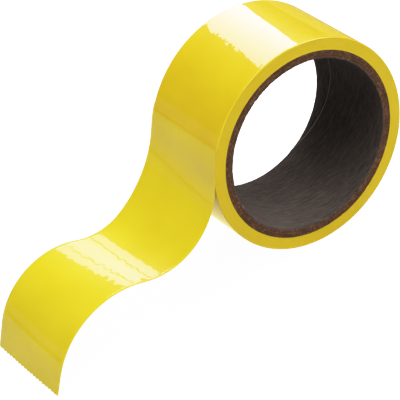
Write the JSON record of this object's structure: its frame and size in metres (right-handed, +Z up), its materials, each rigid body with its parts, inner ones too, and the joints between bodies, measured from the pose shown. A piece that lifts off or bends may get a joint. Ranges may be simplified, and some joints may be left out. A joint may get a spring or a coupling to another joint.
{
  "type": "tape roll",
  "caption": "Roll of glossy yellow film tape on a spiral-wound paper core, with its free end drawn off in a curve and a pinked cut edge.",
  "frame": {"origin": "middle of the core's bore, on its axis and half way across the tape", "axes": "+Z up with the roll standing on its tread, +Y along the bore's axis, the free end drawn off towards -X"},
  "size_m": [0.1862, 0.048, 0.0944],
  "materials": {
    "tape_film": "gloss",
    "liner_paper": "matte",
    "core_board": "matte"
  },
  "bodies": {
    "roll": {"core_liner_ply": "liner_paper", "core_body_ply_1": "core_board", "core_body_ply_2": "core_board", "core_body_ply_3": "core_board", "core_body_ply_4": "core_board", "core_body_ply_5": "core_board", "core_body_ply_6": "core_board", "core_outer_wrap": "core_board", "wound_tape": "tape_film"},
    "lead": {"tape_stuck_lead": "tape_film"},
    "tail_1": {"tape_tail_1": "tape_film"},
    "tail_2": {"tape_tail_2": "tape_film"},
    "tail_3": {"tape_tail_3": "tape_film"},
    "tail_4": {"tape_tail_4": "tape_film"},
    "tail_5": {"tape_tail_5": "tape_film"}
  },
  "joints": [
    {"name": "unwind", "type": "hinge", "parent": "roll", "child": "lead", "pos_m": [0, 0, 0], "axis": [0, 1, 0], "continuous": true},
    {"name": "peel", "type": "hinge", "parent": "lead", "child": "tail_1", "pos_m": [-0.04623, 0, 0.01067], "axis": [0, 1, 0], "range_deg": [0, 60], "stiffness_Nm_per_rad": 0.02},
    {"name": "flex_1", "type": "hinge", "parent": "tail_1", "child": "tail_2", "pos_m": [-0.05824, 0, -0.01045], "axis": [0, 1, 0], "range_deg": [-40, 40], "stiffness_Nm_per_rad": 0.02},
    {"name": "flex_2", "type": "hinge", "parent": "tail_2", "child": "tail_3", "pos_m": [-0.08015, 0, -0.0204], "axis": [0, 1, 0], "range_deg": [-40, 40], "stiffness_Nm_per_rad": 0.02},
    {"name": "flex_3", "type": "hinge", "parent": "tail_3", "child": "tail_4", "pos_m": [-0.10435, 0, -0.01662], "axis": [0, 1, 0], "range_deg": [-40, 40], "stiffness_Nm_per_rad": 0.02},
    {"name": "flex_4", "type": "hinge", "parent": "tail_4", "child": "tail_5", "pos_m": [-0.12652, 0, -0.02616], "axis": [0, 1, 0], "range_deg": [-40, 40], "stiffness_Nm_per_rad": 0.02}
  ]
}
